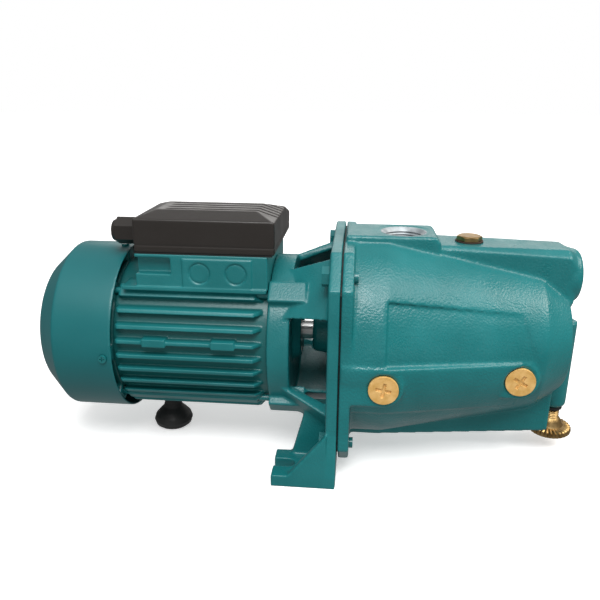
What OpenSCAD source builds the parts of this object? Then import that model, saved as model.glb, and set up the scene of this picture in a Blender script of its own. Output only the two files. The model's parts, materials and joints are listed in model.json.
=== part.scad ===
/* [Overall] */
// Height of the shaft axis above the ground
axis_z = 93; // [90:1:100]
// Radius of the shaft at both bearings
shaft_r = 7.5; // [7:0.5:8]

/* [Fan cover] */
// Outer radius of the fan cover
cover_r = 68; // [67:0.5:70]
// Radius of its flat rear face
cover_rear_r = 52; // [48:1:56]
// Rear face of the cover, the rear end of the pump
cover_rear_x = -212.3; // [-216:1:-208]
// Where the cone of the cover meets its cylinder
cover_cone_x = -193.5; // [-196:0.5:-190]
// Open rim of the cover
cover_rim_x = -148.5; // [-150:0.5:-147]
// Sheet thickness of the cover
cover_sheet = 1.5; // [1:0.1:2]

/* [Motor] */
// Rear end of the finned frame
frame_rear_x = -150.5; // [-152:0.5:-150]
// Front end of the finned frame
frame_front_x = -33.2; // [-34:0.1:-33]
// Radius of the frame between its fins
frame_r = 57; // [56.5:0.1:57.5]
// Radius over the fin tips
fin_r = 63.5; // [62:0.5:64]
// Distance between fins
fin_pitch = 11.2; // [10.5:0.1:11.5]
// Height of the fin with the two thick lugs, above the shaft axis
fin_mid = 8.2; // [7:0.1:9]
// Thickness of a fin
fin_w = 3; // [2:0.1:4]
// Bore of the frame, a press fit on the stator
frame_bore_r = 54.55; // [54:0.05:55]
// Radius of the rotor
rotor_r = 30; // [28:0.5:30]
// Rear face of the iron core
core_rear_x = -128; // [-130:1:-126]
// Front face of the iron core
core_front_x = -63; // [-65:1:-60]
// Distance from the shaft axis to each tie rod
tie_r = 59.7; // [59.5:0.1:60]

/* [Terminal box] */
// Rear end of the terminal box
box_rear_x = -131.5; // [-133:0.5:-130]
// Front end of the terminal box
box_front_x = -28; // [-29:0.5:-27]
// Half of the box width
box_half_w = 49.5; // [48:0.5:51]
// Bottom of the lid
lid_z = 167; // [166:0.5:168]
// Highest plane of the lid
lid_top_z = 196; // [194:0.5:197]
// Height of the gland axis
gland_z = 176; // [175:0.5:177]
// Sideways place of the gland axis
gland_y = -17; // [-20:1:0]

/* [Bracket] */
// Radius of the bracket's bearing ring
ring_r = 61.5; // [61:0.5:62]
// Front face of the bearing ring
ring_front_x = -16.5; // [-17:0.5:-16]
// Rear face of the bracket flange
flange_rear_x = 12.2; // [12:0.1:13]
// Front face of the bracket flange
flange_front_x = 20.5; // [20:0.1:21]
// Half of the flange width
flange_half_w = 81; // [80:0.5:83]
// Half of the flange height
flange_half_h = 82; // [81:0.5:83]
// Height of the middle of both flanges
flange_z = 91; // [90:0.5:92]
// Sideways distance of the flange bolts
bolt_y = 60; // [59:0.5:61]
// Distance of the flange bolts above and below the flange middle
bolt_z = 65.5; // [65:0.5:66]
// Half of the width over the feet
foot_half_w = 85; // [84:0.5:87]
// Thickness of a foot
foot_t = 9; // [8:0.5:10]
// Width of the open slot in a foot
slot_w = 10; // [9:0.5:11]
// Distance of each slot from the middle
slot_y = 66; // [64:0.5:68]

/* [Pump body] */
// Rear face of the body flange
body_rear_x = 21.6; // [21.5:0.1:22.5]
// Front face of the body flange
body_flange_x = 29.5; // [29:0.1:31]
// Height of the barrel's own axis
barrel_z = 96; // [95:0.5:97]
// Barrel radius at the flange
barrel_r = 80.5; // [80:0.1:81]
// Barrel radius where the nose cone starts
barrel_nose_r = 57; // [56:0.5:58]
// Where the nose cone starts
nose_cone_x = 168; // [166:0.5:170]
// Front wall of the barrel
barrel_front_x = 190.5; // [189:0.5:191]
// Top of the discharge boss
discharge_z = 178; // [177:0.5:179]
// Place of the discharge port along the pump
discharge_x = 66; // [65:0.5:67]
// Bore radius of the two threaded ports
port_r = 15.15; // [15:0.05:15.3]
// Top of the ridge at the priming plug
ridge_z = 170.8; // [170:0.1:172]
// Front face of the suction boss
suction_x = 198.5; // [196:0.5:199]
// Height of the suction port axis
suction_z = 146.5; // [146:0.5:148]
// Radius of the suction boss
suction_boss_r = 21.5; // [21:0.5:23]

/* [Plugs] */
// Head radius of the side plugs
side_plug_r = 10.7; // [10:0.1:11]
// Thread radius of the side plugs and the drain screw
plug_thread_r = 6.55; // [6.5:0.05:6.6]
// Height of the rear side plug
pressure_plug_z = 81.3; // [80:0.1:83]
// Height of the front side plug
suction_plug_z = 82.9; // [80:0.1:83]
// Place of the priming plug along the pump
priming_x = 116; // [114:1:118]
// Thread radius of the priming plug
priming_thread_r = 8.3; // [8.2:0.05:8.4]
// Radius of the drain screw's toothed disc
drain_disc_r = 17.3; // [16:0.1:18]

/* [Hidden] */
$fn = 96;
eps = 0.01;
fit = 0.08;
column_x = 195;
column_r = 10;
column_low_z = 36;
pressure_plug_x = 52.4;
pressure_seat_y = -79.3;
suction_plug_x = 150.3;
suction_seat_y = -59;
side_pad_r = 14.2;
washer_t = 1;
partition_rear_x = 138;
partition_front_x = 146;
foot_rear_x = -27.5;
bearing_r = 17.5;
bearing_w = 11;
rear_bearing_x = -163;
front_bearing_x = -31.5;
lid_skin = 2.4;
rubber_foot_x = -125;
ball_count = 8;

teal = [0.05, 0.42, 0.42];
black = [0.09, 0.08, 0.08];
brass = [0.80, 0.62, 0.28];
pale_brass = [0.90, 0.76, 0.45];
steel = [0.72, 0.73, 0.74];
iron = [0.36, 0.37, 0.38];
copper = [0.72, 0.38, 0.20];
plastic_white = [0.88, 0.88, 0.84];
rubber_black = [0.05, 0.05, 0.05];
fibre = [0.45, 0.20, 0.12];

// ---------- shared shapes ----------

// Turns a profile of [radius, x] points about a line parallel to the shaft.
module turned(height = axis_z) {
    translate([0, 0, height]) rotate([0, 90, 0]) rotate_extrude() children();
}

// Cylinder along X.
module rod_x(from, to, r, y = 0, z = axis_z) {
    translate([from, y, z]) rotate([0, 90, 0]) cylinder(h = to - from, r = r);
}

// Cylinder along Y.
module rod_y(from, to, r, x, z) {
    translate([x, to, z]) rotate([90, 0, 0]) cylinder(h = to - from, r = r);
}

// Cylinder along Z.
module rod_z(from, to, r, x, y = 0) {
    translate([x, y, from]) cylinder(h = to - from, r = r);
}

module tube_x(from, to, inner, outer, y = 0, z = axis_z) {
    difference() {
        rod_x(from, to, outer, y, z);
        rod_x(from - 1, to + 1, inner, y, z);
    }
}

module block(low, high) {
    translate(low) cube(high - low);
}

// Flat outline of [y, z] points, thickened along X.
module plate_x(from, to) {
    translate([from, 0, 0]) rotate([90, 0, 90]) linear_extrude(to - from) children();
}

// Flat outline of [x, z] points, thickened along Y.
module plate_y(from, to) {
    translate([0, to, 0]) rotate([90, 0, 0]) linear_extrude(to - from) children();
}

// Repeats its children on both sides of the middle plane.
module both_sides() {
    children();
    mirror([0, 1, 0]) children();
}

// Places of the four flange bolts.
module at_flange_bolts() {
    for (side = [-1, 1], level = [-1, 1])
        translate([0, side * bolt_y, flange_z + level * bolt_z]) children();
}

// Repeats its children about the shaft axis, first copy at the given angle from +Z.
module around_shaft(count, first = 0) {
    for (i = [0 : count - 1])
        translate([0, 0, axis_z]) rotate([first + i * 360 / count, 0, 0]) children();
}

module hex_x(from, to, across_flats, y = 0, z = axis_z) {
    translate([from, y, z]) rotate([0, 90, 0])
        cylinder(h = to - from, r = across_flats / sqrt(3), $fn = 6);
}

// Outline with sharp radial teeth.
module toothed_disc(r, teeth, depth) {
    step = 180 / teeth;
    polygon([for (i = [0 : 2 * teeth - 1]) (r - (i % 2) * depth) * [cos(i * step), sin(i * step)]]);
}

// Flange outline with cut corners, as [y, z] points about the flange middle.
module flange_outline(half_w, half_h, corner_y, corner_z) {
    translate([0, flange_z])
        polygon([
            [-corner_y, half_h], [corner_y, half_h], [half_w, corner_z], [half_w, -corner_z],
            [corner_y, -half_h], [-corner_y, -half_h], [-half_w, -corner_z], [-half_w, corner_z]
        ]);
}

// ---------- pump body ----------

// Outer cone of the barrel, grown or shrunk at its two ends.
module barrel_shape(grow_rear = 0, grow_front = 0) {
    turned(barrel_z) polygon([
        [0, body_rear_x + 1], [barrel_r + grow_rear, body_rear_x + 1], [barrel_r + grow_rear, 54],
        [barrel_nose_r + grow_front, nose_cone_x], [41, barrel_front_x], [0, barrel_front_x]
    ]);
}

// Shallow panel on each side, deepest at its rear edge and fading out towards the nose.
module side_panel_cut() {
    difference() {
        plate_y(-90, -40) polygon([[53, 97], [53, 141], [150, 130], [162, 97]]);
        barrel_shape(-3, -0.5);
    }
}

// Band below the panels that carries the side plugs.
module lower_band() {
    intersection() {
        translate([0, -1.8, 0]) barrel_shape();
        block([body_rear_x + 1, -90, 58], [150, -20, 97]);
    }
}

// Round pad under a side plug, running back along the barrel.
module plug_pad(rear, x, z, seat_y) {
    rod_y(seat_y - 1.7, -40, side_pad_r, x, z);
    block([rear, seat_y - 1.7, z - side_pad_r], [x, -40, z + side_pad_r]);
}

module discharge_boss() {
    plate_y(-24, 24) polygon([
        [body_rear_x + 1, 110], [body_rear_x + 1, discharge_z], [89, discharge_z], [92, 174], [92, 110]
    ]);
}

// Cross-section of the ridge: flat top, a bevel on each edge and upright sides.
module ridge_section(half_top, top, bevel_z) {
    polygon([
        [-22, 118], [-22, bevel_z], [-half_top, top], [half_top, top], [22, bevel_z], [22, 118]
    ]);
}

module ridge() {
    hull() {
        plate_x(60, 61) ridge_section(20, 172, 169.6);
        plate_x(186, 187) ridge_section(14.5, 169.4, 165);
    }
    hull() {
        plate_x(184, 187) ridge_section(14.5, 169.4, 165);
        plate_x(193, 194) polygon([[-19, 130], [-19, 156], [-10, 165], [10, 165], [19, 156], [19, 130]]);
    }
    turned(suction_z) polygon([
        [0, 150], [suction_boss_r, 150], [suction_boss_r, 193], [20.4, 196.5], [18.4, suction_x],
        [0, suction_x]
    ]);
}

module keel() {
    plate_y(-25, 25) polygon([
        [body_rear_x + 1, 40], [body_rear_x + 1, 13.5], [52, 13.5], [186, 24.5], [186, 70], [60, 70]
    ]);
}

module drain_column() {
    translate([column_x, 0, column_low_z]) cylinder(h = 3, r1 = 8, r2 = column_r);
    rod_z(column_low_z + 3 - eps, 110, column_r, column_x);
    block([170, -column_r, 45], [column_x, column_r, 106]);
}

// Water spaces, ports and threaded holes of the body.
module body_spaces() {
    difference() {
        turned(barrel_z) polygon([
            [0, body_rear_x - 1], [74.5, body_rear_x - 1], [74.5, 54], [57, partition_rear_x],
            [0, partition_rear_x]
        ]);
        rod_z(157, discharge_z, 20, discharge_x);
    }
    turned(barrel_z) polygon([
        [0, partition_front_x], [44, partition_front_x], [44, 168], [33, 183], [0, 183]
    ]);
    rod_x(partition_rear_x - 5, partition_front_x + 5, 14);
    rod_x(160, 182, 13, 0, suction_z);
    rod_x(180.2, suction_x + 1, port_r, 0, suction_z);
    rod_z(150, 160, 13, discharge_x);
    rod_z(158, discharge_z + 1, port_r, discharge_x);
    rod_z(discharge_z - 0.8, discharge_z + 1, 21, discharge_x);
    translate([discharge_x, 0, discharge_z - 2.7]) cylinder(h = 2, r1 = port_r, r2 = 17.1);
    translate([suction_x - 1.95, 0, suction_z]) rotate([0, 90, 0]) cylinder(h = 2, r1 = port_r, r2 = 17.1);
    rod_z(138, ridge_z + 1, priming_thread_r, priming_x);
    rod_z(ridge_z, ridge_z + 4, 11.5, priming_x);
    rod_y(-90, -60, plug_thread_r, pressure_plug_x, pressure_plug_z);
    rod_y(-90, pressure_seat_y, 11.4, pressure_plug_x, pressure_plug_z);
    rod_y(-90, -36, plug_thread_r, suction_plug_x, suction_plug_z);
    rod_y(-90, suction_seat_y, 11.4, suction_plug_x, suction_plug_z);
    rod_x(110, column_x, 5.5, 0, 50);
    rod_z(column_low_z - 1, axis_z, plug_thread_r, column_x);
    rod_x(178, column_x, 7.5);
}

module pump_body() {
    color(teal) difference() {
        union() {
            plate_x(body_rear_x, body_flange_x) flange_outline(flange_half_w, flange_half_h, 56, 61);
            difference() {
                barrel_shape();
                both_sides() side_panel_cut();
            }
            both_sides() lower_band();
            plug_pad(body_rear_x + 1, pressure_plug_x, pressure_plug_z, pressure_seat_y);
            plug_pad(suction_plug_x - 12, suction_plug_x, suction_plug_z, suction_seat_y);
            discharge_boss();
            ridge();
            keel();
            drain_column();
        }
        body_spaces();
        at_flange_bolts() rod_x(body_rear_x - 1, body_flange_x + 4, 4.15, 0, 0);
    }
}

// Head with a cross recess and a threaded shank, pointing to -Y.
module side_plug(x, z, seat_y, shank, turn) {
    head_y = seat_y - washer_t;
    difference() {
        union() {
            rod_y(head_y - 2.5, head_y, side_plug_r, x, z);
            rod_y(head_y - eps, head_y + shank, plug_thread_r - fit, x, z);
        }
        translate([x, head_y - 2.5, z]) for (a = [turn, turn + 90])
            rotate([0, a, 0]) cube([11, 3, 2.3], center = true);
    }
}

module side_plug_washer(x, z, seat_y) {
    difference() {
        rod_y(seat_y - washer_t, seat_y, 9.8, x, z);
        rod_y(seat_y - washer_t - 1, seat_y + 1, 7, x, z);
    }
}

module pressure_plug() {
    color(pale_brass) side_plug(pressure_plug_x, pressure_plug_z, pressure_seat_y, 9, 10);
}

module pressure_plug_washer() {
    color(fibre) side_plug_washer(pressure_plug_x, pressure_plug_z, pressure_seat_y);
}

module suction_plug() {
    color(pale_brass) side_plug(suction_plug_x, suction_plug_z, suction_seat_y, 9, 30);
}

module suction_plug_washer() {
    color(fibre) side_plug_washer(suction_plug_x, suction_plug_z, suction_seat_y);
}

module priming_plug() {
    color(brass) {
        translate([priming_x, 0, ridge_z + washer_t]) cylinder(h = 3.8, r = 17 / sqrt(3), $fn = 6);
        rod_z(ridge_z - 10, ridge_z + washer_t + eps, priming_thread_r - fit, priming_x);
    }
}

module priming_washer() {
    color(fibre) difference() {
        rod_z(ridge_z, ridge_z + washer_t, 10.5, priming_x);
        rod_z(ridge_z - 1, ridge_z + washer_t + 1, 8.8, priming_x);
    }
}

// Thumb screw: a threaded stem under a toothed disc with a conical hub.
module drain_screw() {
    color(brass) {
        translate([column_x, 0, 12.3]) linear_extrude(6.2) toothed_disc(drain_disc_r, 32, 1.3);
        translate([column_x, 0, 18.4]) cylinder(h = 8, r1 = 13, r2 = plug_thread_r - fit);
        rod_z(26, column_low_z + 12, plug_thread_r - fit, column_x);
    }
}

module drain_seal_ring() {
    color(rubber_black) difference() {
        rod_z(column_low_z - 2, column_low_z, 7.9, column_x);
        rod_z(column_low_z - 3, column_low_z + 1, 6.9, column_x);
    }
}

module body_gasket() {
    color(rubber_black) difference() {
        plate_x(flange_front_x, body_rear_x) flange_outline(77.5, flange_half_h - 3.5, 53, 57);
        rod_x(flange_front_x - 1, body_rear_x + 1, 74, 0, flange_z);
        at_flange_bolts() rod_x(flange_front_x - 1, body_rear_x + 1, 4.6, 0, 0);
    }
}

// ---------- hydraulics ----------

module diffuser() {
    color(plastic_white) difference() {
        turned() polygon([
            [60.5, 24], [65, 24], [65, 45.8], [24, 45.8], [18, 56], [18, 68], [14.2, 68], [14.2, 57],
            [20.3, 49], [20.3, 44], [60.5, 44]
        ]);
        around_shaft(6) block([30, -6, 55], [40, 6, 70]);
    }
}

module diffuser_seal() {
    color(rubber_black) turned() translate([19.5, 60]) circle(r = 1.4, $fn = 48);
}

module venturi_tube() {
    color(plastic_white) turned() polygon([
        [14.1, 56], [14.1, 66], [12, 70], [10.5, 118], [13.9, 128], [13.9, 145.9], [11, 145.9],
        [6.2, 120], [10.8, 56]
    ]);
}

module venturi_seal() {
    color(rubber_black) tube_x(partition_front_x, partition_front_x + 2, 14.2, 18);
}

module ejector_nozzle() {
    color(brass) {
        turned() polygon([
            [3.2, 152], [5, 152], [7.4, 170], [11, 172], [11, 182.8], [7.4, 182.8], [7.4, 189], [5.5, 189],
            [5.5, 172]
        ]);
    }
}

module impeller() {
    color(brass) {
        turned() polygon([
            [shaft_r + fit, 23.5], [13, 23.5], [13, 27], [57.5, 27], [57.5, 29.5], [13, 32], [13, 38],
            [shaft_r + fit, 38]
        ]);
        turned() polygon([[20.2, 47], [18.2, 47], [18.2, 38], [57.5, 35], [57.5, 37], [20.2, 41]]);
        intersection() {
            around_shaft(6) translate([0, 0, 16]) rotate([38, 0, 0]) block([28, -1, 0], [39, 1, 60]);
            turned() polygon([[14, 29], [57, 28], [57, 36], [18.5, 39], [14, 37]]);
        }
    }
}

module impeller_key() {
    color(steel) block([28, -1.5, axis_z + 5.2], [36, 1.5, axis_z + 7.2]);
}

module impeller_washer() {
    color(steel) tube_x(38, 39.5, 6.2, 11);
}

module impeller_nut() {
    color(brass) difference() {
        hex_x(39.5, 45.5, 17);
        rod_x(39, 46, 5.85);
    }
}

module seal_seat() {
    color(plastic_white) tube_x(4, 10, 8.4, 13.95);
}

module seal_ring() {
    color([0.16, 0.16, 0.17]) tube_x(10.05, 14, shaft_r + fit, 12.5);
}

// Three turns of round wire between the seal ring and the impeller hub.
module seal_spring() {
    wire = 0.8;
    coil_r = 10.2;
    turns = 3;
    steps = 16 * turns;
    sides = 8;
    from = 14.1 + wire;
    to = 23.4 - wire;
    function ring(i) = [for (s = [0 : sides - 1])
        let (a = 360 * i * turns / steps, t = 360 * s / sides, r = coil_r + wire * cos(t))
        [from + (to - from) * i / steps + wire * sin(t), r * sin(a), r * cos(a)]];
    points = [for (i = [0 : steps]) each ring(i)];
    walls = [for (i = [0 : steps - 1], s = [0 : sides - 1])
        [i * sides + s, i * sides + (s + 1) % sides, (i + 1) * sides + (s + 1) % sides, (i + 1) * sides + s]];
    ends = [[for (s = [sides - 1 : -1 : 0]) s], [for (s = [0 : sides - 1]) steps * sides + s]];
    color(steel) translate([0, 0, axis_z]) polyhedron(points, concat(walls, ends));
}

// Lip seal in the bearing housing, with its lips towards the pump.
module bearing_lip_seal() {
    color(rubber_black) turned() polygon([
        [shaft_r + fit, -17], [11.9, -19], [16.9, -19], [16.9, -14], [15.5, -14], [15.5, -17.5], [10, -17.5],
        [shaft_r + fit + 0.5, -13]
    ]);
}

// ---------- rotor ----------

module shaft() {
    color(steel) difference() {
        turned() polygon([
            [0, -196], [5, -196], [6, -195], [6, -166], [shaft_r, -166], [shaft_r, -148], [10, -148],
            [10, -42], [shaft_r, -42], [shaft_r, 38], [5.8, 38], [5.8, 47.5], [5, 48.5], [0, 48.5]
        ]);
        block([28, -1.5, axis_z + 5.2], [36, 1.5, axis_z + 10]);
        tube_x(-191.2, -190.2, 5.4, 8);
    }
}

module rotor_core() {
    color(iron) tube_x(core_rear_x, core_front_x, 10.02, rotor_r);
}

module rotor_end_rings() {
    color(steel) for (x = [core_rear_x - 9, core_front_x])
        tube_x(x, x + 9, 18, rotor_r - 1);
}

module bearing_outer(x) {
    color(steel) difference() {
        rod_x(x, x + bearing_w, bearing_r);
        rod_x(x - 1, x + bearing_w + 1, 14.6);
        turned() translate([12.5, x + bearing_w / 2]) circle(r = 3.5, $fn = 48);
    }
}

module bearing_inner(x) {
    color(steel) difference() {
        rod_x(x, x + bearing_w, 10.6);
        rod_x(x - 1, x + bearing_w + 1, shaft_r + 0.02);
        turned() translate([12.5, x + bearing_w / 2]) circle(r = 3.5, $fn = 48);
    }
}

module bearing_balls(x) {
    color(steel) {
        around_shaft(ball_count) translate([x + bearing_w / 2, 0, 12.5]) sphere(r = 3.1, $fn = 48);
        tube_x(x + bearing_w / 2 - 1, x + bearing_w / 2 + 1, 11.7, 13.3);
    }
}

module front_bearing_outer() { bearing_outer(front_bearing_x); }

module front_bearing_inner() { bearing_inner(front_bearing_x); }

module front_bearing_balls() { bearing_balls(front_bearing_x); }

module rear_bearing_outer() { bearing_outer(rear_bearing_x); }

module rear_bearing_inner() { bearing_inner(rear_bearing_x); }

module rear_bearing_balls() { bearing_balls(rear_bearing_x); }

module wave_washer() {
    color(steel) tube_x(rear_bearing_x - 1.2, rear_bearing_x - 0.1, 13.5, 17.2);
}

// ---------- stator and frame ----------

module slot_outline(w, inner, outer, count = 24) {
    for (i = [0 : count - 1]) rotate(i * 360 / count) translate([-w / 2, inner]) square([w, outer - inner]);
}

module stator_core() {
    color(iron) translate([core_rear_x, 0, axis_z]) rotate([90, 0, 90])
        linear_extrude(core_front_x - core_rear_x) difference() {
            circle(r = frame_bore_r - fit);
            circle(r = rotor_r + 0.5);
            slot_outline(4.4, 33, 46);
        }
}

module stator_windings() {
    bars_rear = core_rear_x - 2;
    color(copper) {
        translate([bars_rear, 0, axis_z]) rotate([90, 0, 90])
            linear_extrude(core_front_x - core_rear_x + 4) slot_outline(4, 33.3, 45.7);
        for (x = [core_rear_x - 14, core_front_x + 1.5])
            turned() translate([33, x]) polygon([
                [0, 2], [2, 0], [11, 0], [14, 3], [14, 9.5], [11, 12.5], [2, 12.5], [0, 10.5]
            ]);
    }
}

// Horizontal fins on the two sides and upright fins below, as [y, z] points about the shaft axis.
module fin_outline() {
    for (i = [-4 : 3])
        translate([-fin_r, fin_mid + i * fin_pitch - fin_w / 2]) square([2 * fin_r, fin_w]);
    for (i = [-3 : 3])
        translate([i * fin_pitch - fin_w / 2, -fin_r]) square([fin_w, fin_r]);
    for (a = [45 : 90 : 315])
        rotate(a) translate([tie_r, 0]) circle(r = 5.2);
}

// Fins end in a slope at the front and run under the fan cover at the rear.
module fin_envelope() {
    turned() polygon([
        [0, frame_rear_x + 3], [fin_r - 2, frame_rear_x + 3], [fin_r, frame_rear_x + 5],
        [fin_r, frame_front_x - 10], [frame_r - 1, frame_front_x - 3], [0, frame_front_x - 3]
    ]);
}

module terminal_base() {
    difference() {
        union() {
            block([box_rear_x, -box_half_w, 141], [frame_front_x - 0.2, box_half_w, lid_z - 1]);
            block([frame_rear_x + 8, -box_half_w - 1.5, 138.5], [frame_front_x - 1, box_half_w + 1.5, 141.5]);
            both_sides() block([-96, -box_half_w - 1, 142], [-45, -box_half_w, 163]);
        }
        block([box_rear_x + 3.5, -41, 152], [box_front_x - 9, box_half_w - 5.5, lid_z]);
        block([box_rear_x - 4, -box_half_w - 1, 151], [-105, -42.5, 163.5]);
        mirror([0, 1, 0]) block([box_rear_x - 4, -box_half_w - 1, 151], [-105, 3.2 - box_half_w, 163.5]);
        both_sides() for (x = [-83.5, -56.5]) difference() {
            rod_y(-box_half_w - 2, 0.2 - box_half_w, 8.2, x, 152.5);
            rod_y(-box_half_w - 0.5, 2 - box_half_w, 6.6, x, 152.5);
        }
    }
}

module motor_frame() {
    color(teal) difference() {
        union() {
            rod_x(frame_rear_x, frame_front_x, frame_r);
            intersection() {
                translate([frame_rear_x, 0, axis_z]) rotate([90, 0, 90]) linear_extrude(130) fin_outline();
                fin_envelope();
            }
            both_sides() for (x = [-126, -74])
                block([x, -64, axis_z + fin_mid - 3.1], [x + 17.5, -50, axis_z + fin_mid + 3.1]);
            difference() {
                terminal_base();
                rod_x(frame_rear_x - 5, frame_front_x + 5, frame_r - 1);
            }
            block([rubber_foot_x - 9, -9, axis_z - fin_r], [rubber_foot_x + 9, 9, axis_z - frame_r + 1]);
        }
        rod_x(frame_rear_x - 1, frame_front_x + 1, frame_bore_r);
        rod_z(axis_z - fin_r - 1, axis_z - frame_r + 2, 3, rubber_foot_x);
        rod_z(144, 156, 7, -118, 36);
        rod_z(150.2, 153, 2.1, -44, 20);
        around_shaft(4, 45) rod_x(frame_rear_x - 1, frame_front_x + 1, 2.75, 0, tie_r);
    }
}

module rear_end_shield() {
    color(teal) difference() {
        union() {
            turned() polygon([
                [0, -166.5], [22, -166.5], [22, -160], [50, -157], [frame_r, -156], [frame_r, frame_rear_x],
                [frame_bore_r - fit, frame_rear_x], [frame_bore_r - fit, -147.5], [50, -147.5], [49, -152.5],
                [22, -152.5], [22, -149.5], [0, -149.5]
            ]);
            around_shaft(4, 45) block([-157, -7, 50], [frame_rear_x, 7, 64.5]);
            around_shaft(4, 93) block([-160, -6, 48], [frame_rear_x, 6, cover_r - cover_sheet - 0.2]);
        }
        rod_x(-164.3, -149, bearing_r + 0.04);
        rod_x(-168, -160, 9);
        around_shaft(4, 45) rod_x(-158, -150, 2.75, 0, tie_r);
        around_shaft(4, 93) rod_z(58, 70, 1.9, -155);
    }
}

module tie_rods() {
    color(teal) around_shaft(4, 45) translate([0, 0, tie_r]) {
        rod_x(-157, -12, 2.5, 0, 0);
        hex_x(-161, -157, 8, 0, 0);
    }
}

// ---------- fan and cover ----------

module fan() {
    color(black) difference() {
        union() {
            turned() polygon([[6.05, -190], [12, -190], [12, -171], [6.05, -171]]);
            turned() polygon([[11, -175], [50, -170.5], [50, -168.5], [11, -172.5]]);
            around_shaft(8, 22.5) block([-188, -1, 10], [-170.5, 1, 55]);
        }
        rod_x(-200, -165, 6.03);
    }
}

module fan_clip() {
    color(steel) tube_x(-191.15, -190.25, 5.5, 9);
}

module cover_slots() {
    for (r = [16, 24, 32, 40]) difference() {
        rod_x(cover_rear_x - 1, cover_rear_x + 4, r + 3.4);
        rod_x(cover_rear_x - 2, cover_rear_x + 5, r);
        around_shaft(4, 45) block([cover_rear_x - 2, -2.5, -60], [cover_rear_x + 5, 2.5, 60]);
    }
}

module fan_cover() {
    inner = cover_r - cover_sheet;
    color(teal) difference() {
        turned() polygon([
            [0, cover_rear_x], [cover_rear_r - 4, cover_rear_x], [cover_rear_r, cover_rear_x + 2],
            [cover_r, cover_cone_x], [cover_r, cover_rim_x], [inner, cover_rim_x], [inner, cover_cone_x + 0.8],
            [cover_rear_r - 1, cover_rear_x + 3.6], [cover_rear_r - 5, cover_rear_x + 2],
            [0, cover_rear_x + 2]
        ]);
        cover_slots();
        around_shaft(4, 93) rod_z(60, 75, 2.2, -155);
    }
}

module fan_cover_screws() {
    color(teal) around_shaft(4, 93) translate([-155, 0, cover_r]) difference() {
        union() {
            cylinder(h = 1.6, r = 3);
            translate([0, 0, -8]) cylinder(h = 8 + eps, r = 1.85);
        }
        translate([0, 0, 1.6]) for (turn = [0, 90])
            rotate([0, 0, turn]) cube([3.8, 0.9, 1.8], center = true);
    }
}

// ---------- bracket ----------

// One arm between the bearing ring and a flange corner, given by its edges as [y, z] points.
module arm(ring_points, flange_points) {
    hull() {
        plate_x(ring_front_x - 6, ring_front_x - 5) translate([0, axis_z]) polygon(ring_points);
        plate_x(flange_rear_x, flange_rear_x + 1) translate([0, axis_z]) polygon(flange_points);
    }
}

module upper_arm() {
    arm(
        [[-54, 29], [-46, 27], [-20, 51], [-22, 56.5]],
        [[-72, 35], [-60, 32], [-26, 64], [-30, 69]]
    );
}

module lower_arm() {
    arm(
        [[-56, -27], [-48, -26], [-31, -48], [-37, -50.5]],
        [[-68, -42], [-58, -38], [-42, -54], [-54, -58]]
    );
}

// Curved floor between the two lower arms.
module lower_trough() {
    intersection() {
        tube_x(ring_front_x - 3, flange_rear_x + 1, 52, 56);
        plate_x(ring_front_x - 3, flange_rear_x + 1) translate([0, axis_z])
            polygon([[-52, -34], [52, -34], [52, -60], [-52, -60]]);
    }
}

module foot() {
    difference() {
        union() {
            block([foot_rear_x, -foot_half_w, 0], [flange_front_x, -48, foot_t]);
            plate_y(-foot_half_w, -79) polygon([
                [flange_rear_x + 1, foot_t - 1], [flange_rear_x + 1, 44], [-16, foot_t - 1]
            ]);
            plate_y(-53.5, -47) polygon([
                [flange_rear_x + 1, foot_t - 1], [flange_rear_x + 1, 46], [-5, 46], [-15, foot_t - 1]
            ]);
        }
        block([foot_rear_x - 1, -slot_y - slot_w / 2, -1], [-16, -slot_y + slot_w / 2, foot_t + 1]);
        rod_z(-1, foot_t + 1, slot_w / 2, -16, -slot_y);
    }
}

module bracket_flange() {
    plate_x(flange_rear_x, flange_front_x) translate([0, flange_z]) polygon([
        [-56, flange_half_h], [56, flange_half_h], [flange_half_w, 61], [flange_half_w, -48],
        [foot_half_w, -82], [foot_half_w, -flange_z], [48, -flange_z], [42, -flange_half_h],
        [-42, -flange_half_h], [-48, -flange_z], [-foot_half_w, -flange_z], [-foot_half_w, -82],
        [-flange_half_w, -48], [-flange_half_w, 61]
    ]);
}

module motor_bracket() {
    color(teal) difference() {
        union() {
            turned() polygon([
                [0, -32.5], [23, -32.5], [23, -25], [50, -25], [50, -30], [48, -37], [frame_bore_r - fit, -37],
                [frame_bore_r - fit, frame_front_x], [ring_r, frame_front_x], [ring_r, ring_front_x],
                [25, ring_front_x - 2], [21, -11.4], [0, -11.4]
            ]);
            around_shaft(4, 45) block([frame_front_x, -8.5, 52], [-5.5, 8.5, 67.5]);
            turned() polygon([[0, -2.4], [15, -2.4], [17, 0], [19, flange_rear_x + 1], [0, flange_rear_x + 1]]);
            bracket_flange();
            lower_trough();
            both_sides() {
                upper_arm();
                lower_arm();
                foot();
            }
        }
        rod_x(-40, front_bearing_x + bearing_w, bearing_r + 0.04);
        rod_x(-22, -10, 17);
        rod_x(-12, 25, 8.6);
        rod_x(4, 25, 14);
        around_shaft(4, 45) rod_x(-40, -12, 2.6, 0, tie_r);
        at_flange_bolts() rod_x(flange_rear_x - 1, flange_front_x + 1, 4.4, 0, 0);
    }
}

module flange_bolts() {
    color(teal) at_flange_bolts() {
        hex_x(flange_rear_x - 5.3, flange_rear_x, 13, 0, 0);
        rod_x(flange_rear_x - eps, body_flange_x + 3, 4, 0, 0);
    }
}

// ---------- terminal box ----------

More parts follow.
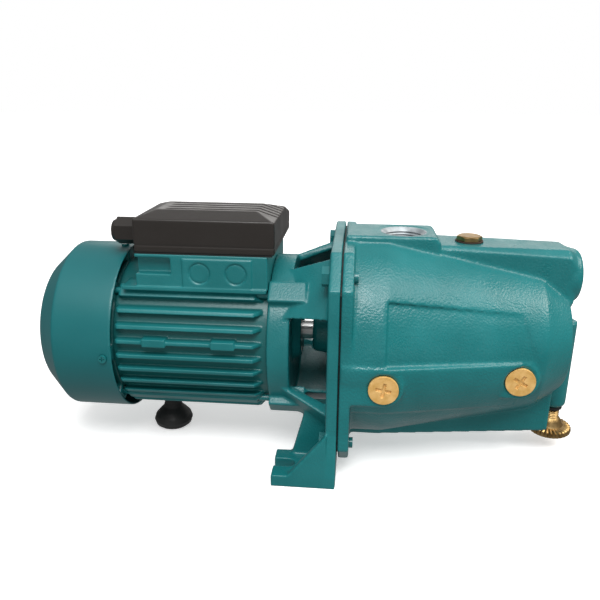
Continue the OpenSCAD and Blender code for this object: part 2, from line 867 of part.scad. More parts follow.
// Solid outline of the lid: highest along the near side and sloping down to the far side.
module lid_shape(inset) {
    rear = box_rear_x + inset;
    front = box_front_x - inset;
    half = box_half_w - inset;
    top = lid_top_z - inset;
    bottom = inset > 0 ? lid_z - 1 : lid_z;
    intersection() {
        plate_x(rear, front) polygon([
            [-half, bottom], [-half, top - 4.5], [-32, top], [3, top], [half, top - 13.5], [half, bottom]
        ]);
        plate_y(-half, half) polygon([
            [rear, bottom], [rear, top - 4.5], [-118, top], [-43, top], [front, top - 5], [front, bottom]
        ]);
    }
}

module terminal_lid() {
    color(black) difference() {
        union() {
            difference() {
                lid_shape(0);
                lid_shape(lid_skin);
            }
            intersection() {
                lid_shape(0);
                for (x = [-118, -40]) rod_z(lid_z, lid_top_z, 4.6, x, 41);
            }
        }
        rod_x(box_rear_x - 1, box_rear_x + 5, 7.55, gland_y, gland_z);
        for (x = [-118, -40]) {
            rod_z(lid_z - 1, 200, 1.85, x, 41);
            rod_z(176, 200, 3.4, x, 41);
        }
    }
}

module lid_screws() {
    color(steel) for (x = [-118, -40]) {
        rod_z(158, 176 + eps, 1.8, x, 41);
        rod_z(176, 178.4, 3.2, x, 41);
    }
}

module terminal_gasket() {
    color(rubber_black) difference() {
        block([box_rear_x, -box_half_w + 0.6, lid_z - 1], [box_front_x - 2, box_half_w - 0.6, lid_z]);
        block([box_rear_x + 3.5, 5.5 - box_half_w, lid_z - 2], [box_front_x - 9, box_half_w - 5.5, lid_z + 1]);
        for (x = [-118, -40]) rod_z(lid_z - 2, lid_z + 1, 2.2, x, 41);
    }
}

module cable_gland_body() {
    color(black) difference() {
        union() {
            hex_x(box_rear_x - 5.5, box_rear_x, 18.6, gland_y, gland_z);
            rod_x(box_rear_x - 15, box_rear_x - 5, 8, gland_y, gland_z);
            rod_x(box_rear_x - eps, box_rear_x + 8, 7.5, gland_y, gland_z);
        }
        rod_x(box_rear_x - 20, box_rear_x + 10, 5.2, gland_y, gland_z);
    }
}

module cable_gland_nut() {
    color(black) difference() {
        union() {
            hex_x(box_rear_x - 23, box_rear_x - 6.3, 18.6, gland_y, gland_z);
            translate([box_rear_x - 26, gland_y, gland_z]) rotate([0, 90, 0])
                cylinder(h = 3 + eps, r1 = 7.8, r2 = 9.2);
        }
        rod_x(box_rear_x - 27, box_rear_x, 5.6, gland_y, gland_z);
        rod_x(box_rear_x - 18, box_rear_x, 8.06, gland_y, gland_z);
    }
}

module gland_seal() {
    color(rubber_black) tube_x(box_rear_x - 17.9, box_rear_x - 15.1, 4.2, 7.7, gland_y, gland_z);
}

module terminal_block() {
    color(plastic_white) difference() {
        block([-108, 8, 152], [-52, 32, 166]);
        for (x = [-100 : 10 : -60], y = [14, 26]) rod_z(156, 168, 2.4, x, y);
    }
}

module terminal_screws() {
    color(brass) for (x = [-100 : 10 : -60], y = [14, 26]) rod_z(156, 165, 2.3, x, y);
}

module capacitor() {
    color([0.75, 0.76, 0.78]) {
        rod_x(-112, -46, 16, -24, 171);
        rod_x(-46 - eps, -41, 3, -30, 171);
        rod_x(-46 - eps, -41, 3, -18, 171);
    }
}

module capacitor_clamp() {
    color(steel) difference() {
        union() {
            tube_x(-84, -74, 16.05, 16.9, -24, 171);
            block([-84, -30, 152], [-74, -18, 155.2]);
        }
        rod_x(-90, -70, 16.05, -24, 171);
    }
}

module earth_screw() {
    color(brass) {
        rod_z(152, 155, 3.6, -44, 20);
        rod_z(150.5, 152 + eps, 2, -44, 20);
    }
}

// ---------- rear support ----------

module rubber_foot() {
    foot_top = axis_z - fin_r;
    color(rubber_black) difference() {
        translate([rubber_foot_x, 0, 0]) rotate_extrude() polygon([
            [0, 0], [12.5, 0], [15.2, 2.2], [16.4, 6], [15.2, 9.8], [12, 13.5], [8.2, 17.5], [7, 21],
            [7, foot_top], [0, foot_top]
        ]);
        rod_z(14, foot_top + 1, 2.95, rubber_foot_x);
    }
}

module rubber_foot_screw() {
    color(steel) rod_z(14.1, axis_z - fin_r + 6, 2.9, rubber_foot_x);
}

pump_body();
priming_plug();
priming_washer();
pressure_plug();
pressure_plug_washer();
suction_plug();
suction_plug_washer();
drain_screw();
drain_seal_ring();
body_gasket();
diffuser();
diffuser_seal();
venturi_tube();
venturi_seal();
ejector_nozzle();
impeller();
impeller_key();
impeller_washer();
impeller_nut();
seal_seat();
seal_ring();
seal_spring();
bearing_lip_seal();
shaft();
rotor_core();
rotor_end_rings();
front_bearing_outer();
front_bearing_inner();
front_bearing_balls();
rear_bearing_outer();
rear_bearing_inner();
rear_bearing_balls();
wave_washer();
stator_core();
stator_windings();
motor_frame();
rear_end_shield();
tie_rods();
fan();
fan_clip();
fan_cover();
fan_cover_screws();
motor_bracket();
flange_bolts();
terminal_gasket();
terminal_lid();
lid_screws();
cable_gland_body();
cable_gland_nut();
gland_seal();
terminal_block();
terminal_screws();
capacitor();
capacitor_clamp();
earth_screw();
rubber_foot();
rubber_foot_screw();
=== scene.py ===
import json
import math

import bmesh
import bpy
import numpy as np
from mathutils import Matrix, Vector


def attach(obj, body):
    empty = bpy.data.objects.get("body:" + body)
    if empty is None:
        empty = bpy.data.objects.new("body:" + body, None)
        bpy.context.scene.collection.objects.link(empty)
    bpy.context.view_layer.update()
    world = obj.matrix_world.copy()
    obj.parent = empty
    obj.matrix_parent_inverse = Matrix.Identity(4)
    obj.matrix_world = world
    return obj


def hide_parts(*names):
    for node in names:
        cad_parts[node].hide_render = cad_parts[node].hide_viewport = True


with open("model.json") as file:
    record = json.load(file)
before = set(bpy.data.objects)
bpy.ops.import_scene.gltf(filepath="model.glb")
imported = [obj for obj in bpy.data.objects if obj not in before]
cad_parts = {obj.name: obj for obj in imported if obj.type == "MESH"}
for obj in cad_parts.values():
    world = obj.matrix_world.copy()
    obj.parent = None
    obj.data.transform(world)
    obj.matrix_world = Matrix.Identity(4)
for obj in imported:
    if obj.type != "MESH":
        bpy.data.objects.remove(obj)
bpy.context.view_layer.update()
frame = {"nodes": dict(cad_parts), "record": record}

MM = 0.001
NODES = frame["nodes"]
SCENE = bpy.context.scene
AXIS_Z = 93.0
FRAME_R = 57.0
MAX_TRIANGLES = 190000


# ---------- materials ----------

def new_material(name, color, roughness, metallic=0.0, specular=0.5, coat=0.0, coat_roughness=0.2):
    m = bpy.data.materials.new(name)
    m.use_nodes = True
    shader = m.node_tree.nodes["Principled BSDF"]
    shader.inputs["Base Color"].default_value = (*color, 1.0)
    shader.inputs["Roughness"].default_value = roughness
    shader.inputs["Metallic"].default_value = metallic
    shader.inputs["Specular IOR Level"].default_value = specular
    shader.inputs["Coat Weight"].default_value = coat
    shader.inputs["Coat Roughness"].default_value = coat_roughness
    return m


def node_of(m, kind, **values):
    n = m.node_tree.nodes.new(kind)
    for key, value in values.items():
        n.inputs[key].default_value = value
    return n


def noise(m, scale, detail=2.0, roughness=0.5, stretch=(1.0, 1.0, 1.0)):
    """Noise over the piece's own coordinates, in features per metre."""
    where = node_of(m, "ShaderNodeTexCoord")
    mapping = node_of(m, "ShaderNodeMapping")
    mapping.inputs["Scale"].default_value = stretch
    tex = node_of(m, "ShaderNodeTexNoise", Scale=scale, Detail=detail, Roughness=roughness)
    m.node_tree.links.new(where.outputs["Object"], mapping.inputs["Vector"])
    m.node_tree.links.new(mapping.outputs["Vector"], tex.inputs["Vector"])
    return tex


def ramp(m, source, low, high, color_low, color_high):
    r = m.node_tree.nodes.new("ShaderNodeValToRGB")
    r.color_ramp.elements[0].position = low
    r.color_ramp.elements[1].position = high
    r.color_ramp.elements[0].color = (*color_low, 1.0)
    r.color_ramp.elements[1].color = (*color_high, 1.0)
    m.node_tree.links.new(source.outputs["Fac"], r.inputs["Fac"])
    return r


def vary_color(m, scale, color_low, color_high, low=0.35, high=0.65, stretch=(1.0, 1.0, 1.0)):
    shader = m.node_tree.nodes["Principled BSDF"]
    r = ramp(m, noise(m, scale, 3.0, stretch=stretch), low, high, color_low, color_high)
    m.node_tree.links.new(r.outputs["Color"], shader.inputs["Base Color"])


def vary_roughness(m, scale, rough_low, rough_high, stretch=(1.0, 1.0, 1.0)):
    shader = m.node_tree.nodes["Principled BSDF"]
    low, high = (rough_low,) * 3, (rough_high,) * 3
    r = ramp(m, noise(m, scale, 3.0, stretch=stretch), 0.3, 0.7, low, high)
    m.node_tree.links.new(r.outputs["Color"], shader.inputs["Roughness"])


def cells(m, scale):
    """Rounded cells over the piece's own coordinates, as hammered paint has."""
    where = node_of(m, "ShaderNodeTexCoord")
    tex = node_of(m, "ShaderNodeTexVoronoi", Scale=scale)
    tex.feature = "SMOOTH_F1"
    tex.inputs["Smoothness"].default_value = 0.6
    m.node_tree.links.new(where.outputs["Object"], tex.inputs["Vector"])
    return tex


def relief(m, *layers, peel=None):
    """Stacks fine surface relief, from noise layers of (scale, strength, height in metres,
    stretch) and from peel, the cells of hammered paint, as (scale, strength, height)."""
    shader = m.node_tree.nodes["Principled BSDF"]
    previous = None
    heights = []
    for scale, strength, height, stretch in layers:
        heights.append((noise(m, scale, stretch=stretch).outputs["Fac"], strength, height))
    if peel:
        scale, strength, height = peel
        heights.append((cells(m, scale).outputs["Distance"], strength, height))
    for source, strength, height in heights:
        bump = node_of(m, "ShaderNodeBump", Strength=strength, Distance=height)
        m.node_tree.links.new(source, bump.inputs["Height"])
        if previous:
            m.node_tree.links.new(previous.outputs["Normal"], bump.inputs["Normal"])
        previous = bump
    m.node_tree.links.new(previous.outputs["Normal"], shader.inputs["Normal"])


EVEN = (1.0, 1.0, 1.0)
TEAL = (0.008, 0.150, 0.158)
TEAL_DARK = (0.006, 0.137, 0.144)
TEAL_LIGHT = (0.010, 0.163, 0.172)

cast_paint = new_material("cast_paint", TEAL, 0.34, specular=0.5)
vary_color(cast_paint, 28.0, TEAL_DARK, TEAL_LIGHT)
vary_roughness(cast_paint, 60.0, 0.26, 0.38)
relief(cast_paint, (160.0, 0.2, 0.0006, EVEN), peel=(640.0, 0.36, -0.0006))

bracket_paint = new_material("bracket_paint", TEAL, 0.36, specular=0.5)
vary_color(bracket_paint, 28.0, TEAL_DARK, TEAL_LIGHT)
vary_roughness(bracket_paint, 60.0, 0.30, 0.42)
relief(bracket_paint, (160.0, 0.15, 0.0005, EVEN), peel=(720.0, 0.26, -0.0005))

alloy_paint = new_material("alloy_paint", TEAL, 0.36, specular=0.5)
vary_color(alloy_paint, 30.0, TEAL_DARK, TEAL_LIGHT)
relief(alloy_paint, (500.0, 0.25, 0.0004, EVEN))

def painted_fin_root_shade(m, inner, outer, shade):
    """Painted shade between the fins: darker from radius outer down to inner, in metres."""
    shader = m.node_tree.nodes["Principled BSDF"]
    paint = shader.inputs["Base Color"].links[0].from_socket
    where = node_of(m, "ShaderNodeTexCoord")
    mapping = node_of(m, "ShaderNodeMapping")
    mapping.inputs["Location"].default_value = (0.0, 0.0, -AXIS_Z * MM)
    mapping.inputs["Scale"].default_value = (0.0, 1.0, 1.0)
    length = node_of(m, "ShaderNodeVectorMath")
    length.operation = "LENGTH"
    reach = node_of(m, "ShaderNodeMapRange")
    reach.inputs["From Min"].default_value = inner
    reach.inputs["From Max"].default_value = outer
    mix = node_of(m, "ShaderNodeMixRGB", Color1=(*shade, 1.0))
    links = m.node_tree.links
    links.new(where.outputs["Object"], mapping.inputs["Vector"])
    links.new(mapping.outputs["Vector"], length.inputs[0])
    links.new(length.outputs["Value"], reach.inputs["Value"])
    links.new(reach.outputs["Result"], mix.inputs["Fac"])
    links.new(paint, mix.inputs["Color2"])
    links.new(mix.outputs["Color"], shader.inputs["Base Color"])


# Painted shade: the paint darkens towards the frame between the fins, where shade falls in the gaps.
painted_fin_root_shade(alloy_paint, FRAME_R * MM, (FRAME_R + 4.0) * MM, (0.006, 0.095, 0.096))

smooth_paint = new_material("smooth_paint", TEAL, 0.37, specular=0.5)
vary_color(smooth_paint, 12.0, (0.004, 0.110, 0.119), (0.006, 0.128, 0.138))
relief(smooth_paint, (260.0, 0.12, 0.0003, EVEN))

bolt_paint = new_material("bolt_paint", TEAL_DARK, 0.35, specular=0.5, coat=0.3)
relief(bolt_paint, (500.0, 0.2, 0.0003, EVEN))

lid_plastic = new_material("lid_plastic", (0.020, 0.017, 0.015), 0.34, specular=0.5)
vary_roughness(lid_plastic, 90.0, 0.30, 0.40)
relief(lid_plastic, (1500.0, 0.15, 0.0001, EVEN))

dark_plastic = new_material("dark_plastic", (0.025, 0.024, 0.023), 0.45)
relief(dark_plastic, (900.0, 0.15, 0.0001, EVEN))

white_plastic = new_material("white_plastic", (0.72, 0.71, 0.66), 0.45)
relief(white_plastic, (700.0, 0.1, 0.0001, EVEN))

case_plastic = new_material("case_plastic", (0.62, 0.63, 0.64), 0.3)
relief(case_plastic, (500.0, 0.05, 0.0001, EVEN))

brass = new_material("brass", (0.42, 0.27, 0.10), 0.38, metallic=1.0)
vary_color(brass, 150.0, (0.33, 0.21, 0.08), (0.50, 0.34, 0.15))
vary_roughness(brass, 300.0, 0.32, 0.46)
relief(brass, (1200.0, 0.15, 0.0001, EVEN))

pale_brass = new_material("pale_brass", (0.70, 0.42, 0.14), 0.52, metallic=0.15, specular=0.5)
vary_color(pale_brass, 200.0, (0.62, 0.36, 0.10), (0.78, 0.49, 0.18))
relief(pale_brass, (1400.0, 0.2, 0.0001, EVEN))

bright_steel = new_material("bright_steel", (0.80, 0.80, 0.79), 0.34, metallic=0.9)
vary_roughness(bright_steel, 40.0, 0.28, 0.42, (1.0, 40.0, 40.0))
relief(bright_steel, (300.0, 0.08, 0.0001, (12.0, 1.0, 1.0)))

bare_iron = new_material("bare_iron", (0.36, 0.40, 0.42), 0.5, metallic=0.35)
vary_color(bare_iron, 180.0, (0.28, 0.32, 0.34), (0.44, 0.48, 0.50))
relief(bare_iron, (1100.0, 0.2, 0.0001, EVEN))

core_iron = new_material("core_iron", (0.22, 0.22, 0.23), 0.5, metallic=0.9)
relief(core_iron, (1400.0, 0.4, 0.0002, (1.0, 0.02, 0.02)))

cast_aluminium = new_material("cast_aluminium", (0.62, 0.63, 0.64), 0.5, metallic=0.9)
relief(cast_aluminium, (600.0, 0.2, 0.0002, EVEN))

copper = new_material("copper", (0.50, 0.17, 0.06), 0.32, metallic=0.8)
relief(copper, (900.0, 0.5, 0.0003, (0.1, 1.0, 1.0)))

carbon = new_material("carbon", (0.045, 0.045, 0.05), 0.35)
relief(carbon, (900.0, 0.1, 0.0001, EVEN))

fibre = new_material("fibre", (0.035, 0.022, 0.015), 0.7)
relief(fibre, (900.0, 0.3, 0.0002, EVEN))

rubber = new_material("rubber", (0.016, 0.017, 0.017), 0.55, specular=0.4)
vary_roughness(rubber, 120.0, 0.45, 0.65)
relief(rubber, (700.0, 0.15, 0.0002, EVEN))

SLOT_MATERIAL = {
    "cast_body": cast_paint, "cast_alloy": alloy_paint, "cover_sheet": smooth_paint,
    "painted_bolts": bolt_paint, "black_plastic": lid_plastic, "white_plastic": white_plastic,
    "fan_plastic": dark_plastic, "capacitor_case": case_plastic, "bright_brass": brass,
    "pale_brass": pale_brass, "steel": bright_steel, "core_iron": core_iron,
    "cast_aluminium": cast_aluminium, "copper_wire": copper, "seal_carbon": carbon,
    "fibre": fibre, "rubber": rubber,
}
NODE_SLOT = {part["node"]: part["material_slot"] for part in frame["record"]["subparts"]}
for node_name, cad_object in NODES.items():
    paint = SLOT_MATERIAL[NODE_SLOT[node_name]]
    cad_object.data.materials.clear()
    cad_object.data.materials.append(paint)


# ---------- making pieces ----------

def piece(name, mesh, slot, body, replaced=(), paint=None):
    """Puts a mesh in metres into the scene as a piece that rides on a body."""
    mesh.materials.clear()
    mesh.materials.append(paint or SLOT_MATERIAL[slot])
    ob = bpy.data.objects.new(name, mesh)
    SCENE.collection.objects.link(ob)
    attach(ob, body)
    if replaced:
        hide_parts(*replaced)
    return ob


def applied(ob):
    """The object's mesh with its modifiers applied; the object is removed."""
    graph = bpy.context.evaluated_depsgraph_get()
    mesh = bpy.data.meshes.new_from_object(ob.evaluated_get(graph))
    bpy.data.objects.remove(ob)
    return mesh


def coordinates(mesh):
    co = np.empty(len(mesh.vertices) * 3)
    mesh.vertices.foreach_get("co", co)
    return co.reshape(-1, 3) / MM


def set_coordinates(mesh, co):
    mesh.vertices.foreach_set("co", (co * MM).ravel())
    mesh.update()


def normals(mesh):
    n = np.empty(len(mesh.vertices) * 3, np.float32)
    mesh.vertices.foreach_get("normal", n)
    return n.reshape(-1, 3).astype(float)


def relax(mesh, passes, weight=None):
    """Rounds edges and fills inner corners, more where weight is near 1."""
    co = coordinates(mesh)
    count = len(co)
    ends = np.empty(len(mesh.edges) * 2, np.int64)
    mesh.edges.foreach_get("vertices", ends)
    ends = ends.reshape(-1, 2)
    degree = np.maximum(np.bincount(ends.ravel(), minlength=count), 1)
    share = 0.5 * (np.ones(count) if weight is None else weight(co))
    for _ in range(passes):
        mean = np.empty_like(co)
        for k in range(3):
            mean[:, k] = np.bincount(ends[:, 0], co[ends[:, 1], k], count)
            mean[:, k] += np.bincount(ends[:, 1], co[ends[:, 0], k], count)
            mean[:, k] /= degree
        co += share[:, None] * (mean - co)
    set_coordinates(mesh, co)


def remeshed(node, voxel, passes, weight=None):
    """Copy of a CAD node as one even mesh with softened edges, as a casting has."""
    ob = bpy.data.objects.new("copy", NODES[node].data.copy())
    SCENE.collection.objects.link(ob)
    grow = ob.modifiers.new("remesh", "REMESH")
    grow.mode = "VOXEL"
    grow.voxel_size = voxel * 1.0 * MM
    mesh = applied(ob)
    relax(mesh, passes, weight)
    return mesh


def lightened(mesh):
    """The same mesh with at most MAX_TRIANGLES triangles, shaded smooth."""
    triangles = sum(len(p.vertices) - 2 for p in mesh.polygons)
    if triangles > MAX_TRIANGLES:
        ob = bpy.data.objects.new("copy", mesh)
        SCENE.collection.objects.link(ob)
        fewer = ob.modifiers.new("fewer", "DECIMATE")
        fewer.ratio = MAX_TRIANGLES / triangles
        mesh = applied(ob)
    mesh.shade_smooth()
    return mesh


def lathe(profile, direction, center, sides=96):
    """Turns a closed outline of (radius, place) points, in mm, about a line along x or z."""
    bm = bmesh.new()
    rings = []
    for r, h in profile:
        ring = []
        for s in range(sides):
            a = 2 * math.pi * s / sides
            u, v = r * math.cos(a), r * math.sin(a)
            at = {
                "x": (h, center[0] + u, center[1] + v),
                "z": (center[0] + u, center[1] + v, h),
            }[direction]
            ring.append(bm.verts.new(Vector(at) * MM))
        rings.append(ring)
    for low, high in zip(rings, rings[1:] + rings[:1]):
        for s in range(sides):
            t = (s + 1) % sides
            bm.faces.new((low[s], low[t], high[t], high[s]))
    bmesh.ops.recalc_face_normals(bm, faces=bm.faces)
    mesh = bpy.data.meshes.new("lathe")
    bm.to_mesh(mesh)
    bm.free()
    mesh.shade_smooth()
    mesh.set_sharp_from_angle(angle=math.radians(40))
    return mesh


# ---------- pump body ----------

DISCHARGE_X, DISCHARGE_TOP = 66.0, 178.0
SUCTION_FACE, SUCTION_Z = 198.5, 146.5
PORT_R = 15.15
PRIMING_X = 116.0
COLUMN_X = 195.0


def near(co, x, y, z, radius, sharp=2.0):
    """0 inside a ball about a place and 1 outside it."""
    gap = np.sqrt((co[:, 0] - x) ** 2 + (co[:, 1] - y) ** 2 + (co[:, 2] - z) ** 2)
    return np.clip((gap - radius) / sharp, 0.0, 1.0)


def body_weight(co):
    """Machined faces of the body stay crisp; the cast skin is softened."""
    w = near(co, DISCHARGE_X, 0.0, DISCHARGE_TOP, 19.5)
    w = np.minimum(w, near(co, SUCTION_FACE, 0.0, SUCTION_Z, 17.5))
    flange = (co[:, 0] < 24.5)
    w = np.where(flange, np.minimum(w, 0.35), w)
    return np.maximum(w, 0.12)


def ridge_end_weight(co):
    """1 where the ridge's upper front corner runs into the suction boss."""
    blend = 1.0 - near(co, 192.5, 0.0, 168.5, 9.0, 6.0)
    return blend * np.clip((196.0 - co[:, 0]) / 2.0, 0.0, 1.0)


body_mesh = remeshed("pump_body", 1.15, 4, body_weight)
relax(body_mesh, 22, ridge_end_weight)
pump = piece("pump_casting", lightened(body_mesh), "cast_body", "frame", ["pump_body"])


def threaded_bore(name, direction, center, mouth, depth, radius):
    """Bare metal face, countersink and thread of a port. The mouth faces along the axis."""
    profile = [(radius + 2.35, mouth - 0.95), (radius + 2.35, mouth + 0.02), (radius + 1.75, mouth + 0.02)]
    profile.append((radius - 0.1, mouth - 1.9))
    pitch, place = 2.31, mouth - 1.9
    while place - pitch > mouth - depth:
        profile.append((radius - 0.9, place - pitch * 0.5))
        profile.append((radius - 0.05, place - pitch))
        place -= pitch
    profile.append((radius + 0.6, place))
    profile.append((radius + 0.6, mouth - 2.6))
    mesh = lathe(profile, direction, center)
    return piece(name, mesh, "cast_body", "frame", paint=bare_iron)


threaded_bore("discharge_port_face", "z", (DISCHARGE_X, 0.0), DISCHARGE_TOP - 0.75, 17.0, PORT_R)
threaded_bore("suction_port_face", "x", (0.0, SUCTION_Z), SUCTION_FACE - 0.05, 16.0, PORT_R)


# ---------- plugs ----------

def plug_copy(node, name, slot, body):
    mesh = remeshed(node, 0.22, 2)
    mesh.shade_smooth()
    return piece(name, mesh, slot, body, [node])


plug_copy("pressure_plug", "pressure_plug_cast", "pale_brass", "pressure_plug_body")
plug_copy("suction_plug", "suction_plug_cast", "pale_brass", "suction_plug_body")

def priming_hex():
    """The hexagon's top corners are chamfered, as on a turned bar."""
    mesh = remeshed("priming_plug", 0.28, 2)
    co = coordinates(mesh)
    top = co[:, 2].max()
    radius = np.hypot(co[:, 0] - PRIMING_X, co[:, 1])
    limit = top - np.clip(radius - 8.0, 0.0, None) * 0.55
    co[:, 2] = np.where(co[:, 2] > top - 2.5, np.minimum(co[:, 2], limit), co[:, 2])
    set_coordinates(mesh, co)
    relax(mesh, 2)
    mesh.shade_smooth()
    return mesh


piece("priming_plug_hex", priming_hex(), "bright_brass", "priming_plug_body", ["priming_plug"])


def thumb_screw():
    """Toothed brass disc with a stepped hub and a threaded stem."""
    teeth, per_tooth = 32, 12
    steps = teeth * per_tooth
    profile = [
        (9.0, 12.3, 0.0), (15.4, 12.35, 0.25), (16.8, 13.2, 0.9), (17.3, 14.4, 1.25),
        (17.3, 16.6, 1.25), (16.7, 17.9, 1.2), (14.6, 18.45, 0.8), (12.2, 18.5, 0.35), (10.6, 18.7, 0.0),
        (9.6, 20.4, 0.0), (8.9, 22.6, 0.0), (7.6, 24.6, 0.0), (6.5, 25.8, 0.0),
    ]
    z = 26.4
    while z < 47.0:
        profile += [(6.45, z, 0.0), (5.75, z + 0.75, 0.0)]
        z += 1.5
    profile += [(6.3, z, 0.0), (5.2, 48.0, 0.0)]
    bm = bmesh.new()
    rings = []
    for r, h, depth in profile:
        ring = []
        for s in range(steps):
            a = 2 * math.pi * s / steps
            wave = abs(((s % per_tooth) / per_tooth) * 2 - 1)
            at = r - depth * (1 - wave)
            drop = 0.6 * depth * (1 - wave) if h > 16.8 else 0.0
            spot = (COLUMN_X + at * math.cos(a), at * math.sin(a), h - drop)
            ring.append(bm.verts.new(Vector(spot) * MM))
        rings.append(ring)
    for low, high in zip(rings, rings[1:]):
        for s in range(steps):
            t = (s + 1) % steps
            bm.faces.new((low[s], low[t], high[t], high[s]))
    bm.faces.new(list(reversed(rings[0])))
    bm.faces.new(rings[-1])
    mesh = bpy.data.meshes.new("thumb")
    bm.to_mesh(mesh)
    bm.free()
    mesh.shade_smooth()
    mesh.set_sharp_from_angle(angle=math.radians(32))
    return mesh


piece("drain_thumb_screw", thumb_screw(), "bright_brass", "drain_screw_body", ["drain_screw"])


# ---------- bracket and motor ----------

def bracket_weight(co):
    hub = np.hypot(co[:, 1], co[:, 2] - AXIS_Z)
    w = np.where((hub < 24.0) & (co[:, 0] < 10.0), 0.35, 1.0)
    w = np.where(co[:, 0] > 19.5, 0.4, w)
    return np.where(co[:, 2] < 0.8, 0.4, w)


bracket_mesh = remeshed("motor_bracket", 1.0, 4, bracket_weight)
piece("bracket_casting", lightened(bracket_mesh), "cast_body", "frame", ["motor_bracket"], bracket_paint)

def frame_weight(co):
    """The box base keeps its recess, raised rectangle and knockout rings."""
    base = (co[:, 2] > 136.0) & (np.abs(co[:, 1]) > 38.0)
    return np.where(base, 0.25, 0.8)


frame_mesh = remeshed("motor_frame", 0.62, 2, frame_weight)
piece("motor_frame_casting", lightened(frame_mesh), "cast_alloy", "frame", ["motor_frame"])

shield_mesh = remeshed("rear_end_shield", 1.1, 5)
piece("rear_shield_casting", lightened(shield_mesh), "cast_alloy", "frame", ["rear_end_shield"])


def cover_weight(co):
    r = np.hypot(co[:, 1], co[:, 2] - AXIS_Z)
    return np.where(r < 46.0, 0.3, 1.0)


cover_mesh = remeshed("fan_cover", 0.75, 5, cover_weight)
piece("fan_cover_sheet", lightened(cover_mesh), "cover_sheet", "frame", ["fan_cover"])


# ---------- terminal box ----------

LID_GROOVES = [-28.0, -19.5, -11.0, -2.5, 6.0, 14.5]


def lid_mesh():
    mesh = remeshed("terminal_lid", 0.62, 6)
    co, out = coordinates(mesh), normals(mesh)
    x, y, z = co[:, 0], co[:, 1], co[:, 2]
    outer = z > 184.0
    top = outer & (out[:, 2] > 0.25) & (x > -114.0)
    depth = np.zeros(len(co))
    for place in LID_GROOVES:
        across = np.abs(y - place)
        depth = np.maximum(depth, np.clip(1.0 - across / 1.5, 0.0, 1.0) * 1.1)
    fade = np.clip((x + 114.0) / 6.0, 0.0, 1.0) * np.clip((z - 188.0) / 1.5, 0.0, 1.0)
    co -= out * (depth * fade * top)[:, None]
    skirt = (np.abs(z - 172.5) < 0.9) & (np.abs(out[:, 2]) < 0.3)
    rim = (x < -130.6) | (x > -28.9) | (np.abs(y) > 48.6)
    lip = np.clip(1.0 - np.abs(z - 172.5) / 0.9, 0.0, 1.0) * 0.55
    co -= out * (lip * (skirt & rim))[:, None]
    set_coordinates(mesh, co)
    return mesh


piece("terminal_lid_moulding", lightened(lid_mesh()), "black_plastic", "frame", ["terminal_lid"])

gland_mesh = remeshed("cable_gland_body", 0.34, 2)
piece("gland_body_moulding", lightened(gland_mesh), "black_plastic", "frame", ["cable_gland_body"])
nut_mesh = remeshed("cable_gland_nut", 0.3, 2)
piece("gland_nut_moulding", lightened(nut_mesh), "black_plastic", "gland_nut_body", ["cable_gland_nut"])


# ---------- studio ----------

def area_light(name, place, aim, size, power, tint=(1.0, 1.0, 1.0)):
    data = bpy.data.lights.new(name, "AREA")
    data.shape = "RECTANGLE"
    data.size, data.size_y = size
    data.energy = power
    data.color = tint
    ob = bpy.data.objects.new(name, data)
    SCENE.collection.objects.link(ob)
    ob.location = place
    ob.rotation_euler = (Vector(aim) - Vector(place)).to_track_quat("-Z", "Y").to_euler()
    return ob


def sun_light(name, direction, strength, spread):
    data = bpy.data.lights.new(name, "SUN")
    data.energy = strength
    data.angle = math.radians(spread)
    ob = bpy.data.objects.new(name, data)
    SCENE.collection.objects.link(ob)
    ob.rotation_euler = Vector(direction).to_track_quat("Z", "Y").to_euler()
    return ob


sun_light("daylight", (0.22, -0.40, 1.0), 1.35, 40.0)
area_light("key", (-0.05, -0.75, 1.0), (0.08, 0.0, 0.12), (0.5, 0.4), 7.0)
area_light("rim", (0.1, 1.35, 0.60), (0.0, 0.0, 0.15), (1.8, 0.45), 3.6, (1.0, 0.98, 0.95))
bounce = area_light("bounce", (0.1, -0.95, 0.10), (0.05, 0.0, 0.10), (1.6, 0.16), 3.0, (1.0, 0.97, 0.94))
bounce.visible_glossy = False
area_light("window", (1.0, -0.1, 0.9), (-0.02, 0.0, 0.18), (0.7, 0.5), 7.5, (1.0, 0.95, 0.88))


FLOOR_GLOW, HORIZON_GLOW, CEILING_GLOW = 0.42, 0.15, 0.55


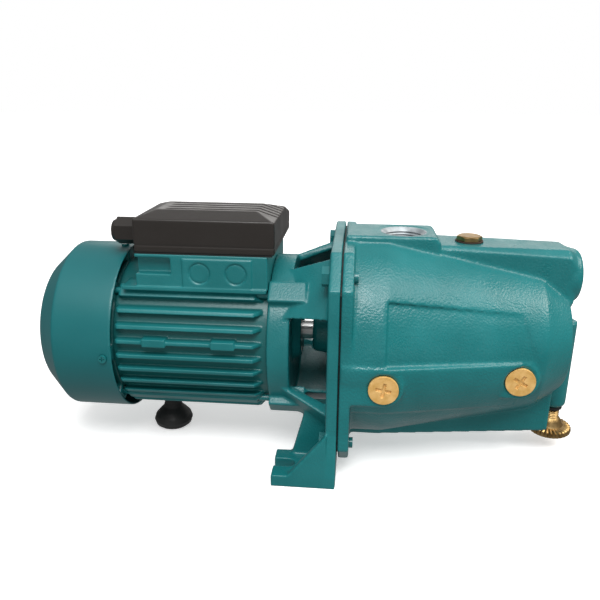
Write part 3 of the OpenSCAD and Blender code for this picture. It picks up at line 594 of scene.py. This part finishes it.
def studio_world():
    """Soft room light, brighter from above than from below, in front of a white background."""
    made = bpy.data.worlds.new("studio")
    made.use_nodes = True
    tree = made.node_tree
    room = tree.nodes["Background"]
    white = tree.nodes.new("ShaderNodeBackground")
    where = tree.nodes.new("ShaderNodeTexCoord")
    split = tree.nodes.new("ShaderNodeSeparateXYZ")
    height = tree.nodes.new("ShaderNodeMapRange")
    height.inputs["From Min"].default_value = -1.0
    shades = tree.nodes.new("ShaderNodeValToRGB")
    seen = tree.nodes.new("ShaderNodeLightPath")
    mix = tree.nodes.new("ShaderNodeMixShader")
    stops = shades.color_ramp.elements
    stops.new(0.5)
    for stop, level in zip(stops, (FLOOR_GLOW, HORIZON_GLOW, CEILING_GLOW)):
        stop.color = (level, level, level, 1.0)
    links = tree.links
    links.new(where.outputs["Generated"], split.inputs["Vector"])
    links.new(split.outputs["Z"], height.inputs["Value"])
    links.new(height.outputs["Result"], shades.inputs["Fac"])
    links.new(shades.outputs["Color"], room.inputs["Color"])
    links.new(seen.outputs["Is Camera Ray"], mix.inputs["Fac"])
    links.new(room.outputs["Background"], mix.inputs[1])
    links.new(white.outputs["Background"], mix.inputs[2])
    white.inputs["Color"].default_value = (1.0, 1.0, 1.0, 1.0)
    room.inputs["Strength"].default_value = 1.0
    links.new(mix.outputs["Shader"], tree.nodes["World Output"].inputs["Surface"])
    return made


SCENE.world = studio_world()
SCENE.view_settings.view_transform = "Standard"

floor_data = bpy.data.meshes.new("floor")
bm = bmesh.new()
bmesh.ops.create_circle(bm, cap_ends=True, segments=96, radius=8.0)
bm.to_mesh(floor_data)
bm.free()
floor = bpy.data.objects.new("floor", floor_data)
SCENE.collection.objects.link(floor)
floor.location = (0.0, 0.0, 0.0)
floor_paint = new_material("floor_paint", (0.90, 0.90, 0.90), 0.7, specular=0.2)
floor_shader = floor_paint.node_tree.nodes["Principled BSDF"]
floor_shader.inputs["Emission Color"].default_value = (1.0, 1.0, 1.0, 1.0)
floor_shader.inputs["Emission Strength"].default_value = 0.45
floor_data.materials.append(floor_paint)
floor.visible_diffuse = False
floor.visible_glossy = False

YAW, PITCH, ROLL = math.radians(5.25), math.radians(18.48), math.radians(0.4)
ahead = Vector((-math.sin(YAW) * math.cos(PITCH), math.cos(YAW) * math.cos(PITCH), -math.sin(PITCH)))
right = Vector((math.cos(YAW), math.sin(YAW), 0.0))
up = right.cross(ahead)
tilted_right = right * math.cos(ROLL) + up * math.sin(ROLL)
tilted_up = tilted_right.cross(ahead)
camera_data = bpy.data.cameras.new("camera")
camera_data.lens = 37.86
camera_data.sensor_width = 36.0
camera = bpy.data.objects.new("camera", camera_data)
SCENE.collection.objects.link(camera)
turn = Matrix((tilted_right, tilted_up, -ahead)).transposed().to_4x4()
camera.matrix_world = Matrix.Translation(Vector((0.03045, -0.48379, 0.28071))) @ turn
SCENE.camera = camera
